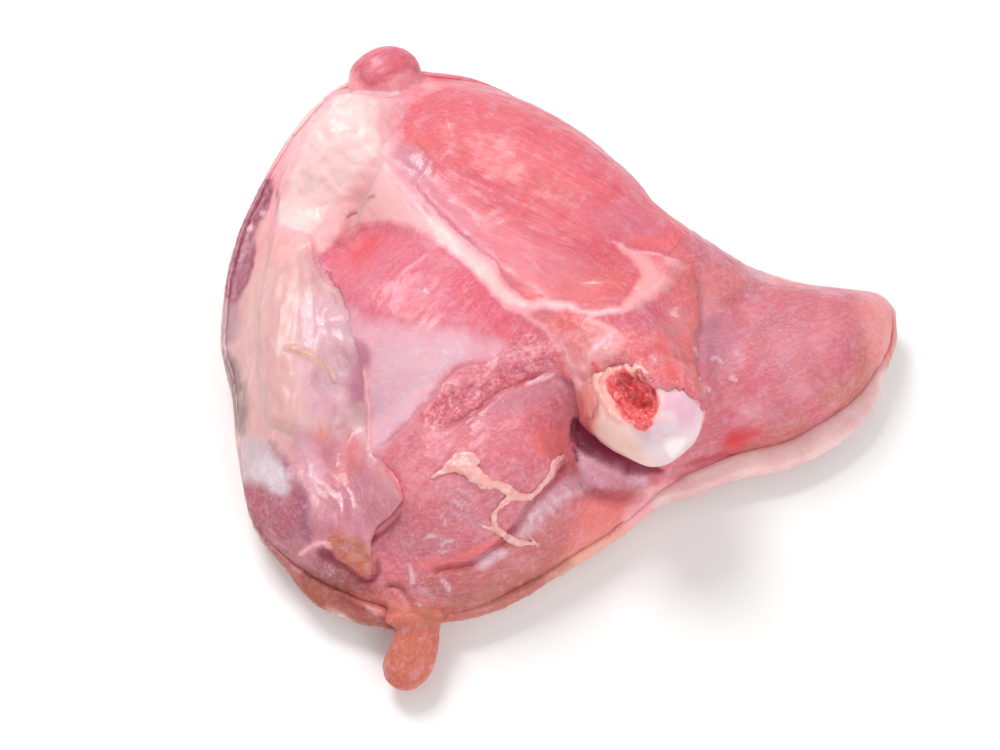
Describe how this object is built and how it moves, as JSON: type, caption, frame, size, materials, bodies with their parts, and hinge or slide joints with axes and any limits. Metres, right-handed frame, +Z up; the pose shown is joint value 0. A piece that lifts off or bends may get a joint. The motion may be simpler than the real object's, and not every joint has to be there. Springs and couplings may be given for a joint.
{
  "type": "raw turkey thigh",
  "caption": "Raw turkey thigh, bone in, lying on its skin with the cut side up: pink muscles, a white fat sheet on the left and the bone's hip knuckle standing out.",
  "frame": {"origin": "middle of the part's base, on the surface that it lies on", "axes": "+Z up through the cut side, +X towards the thin tip of the meat, +Y towards the knee end"},
  "size_m": [0.178, 0.1828, 0.0465],
  "materials": {
    "meat": "wet raw muscle",
    "bone": "wet cartilage over bone",
    "skin": "damp raw skin",
    "fascia": "wet connective tissue and fat",
    "fat": "wet fat"
  },
  "bodies": {
    "root": {"meat": "meat", "femur": "bone", "skin": "skin", "fascia": "fascia", "fat_strand": "fat"}
  },
  "joints": []
}
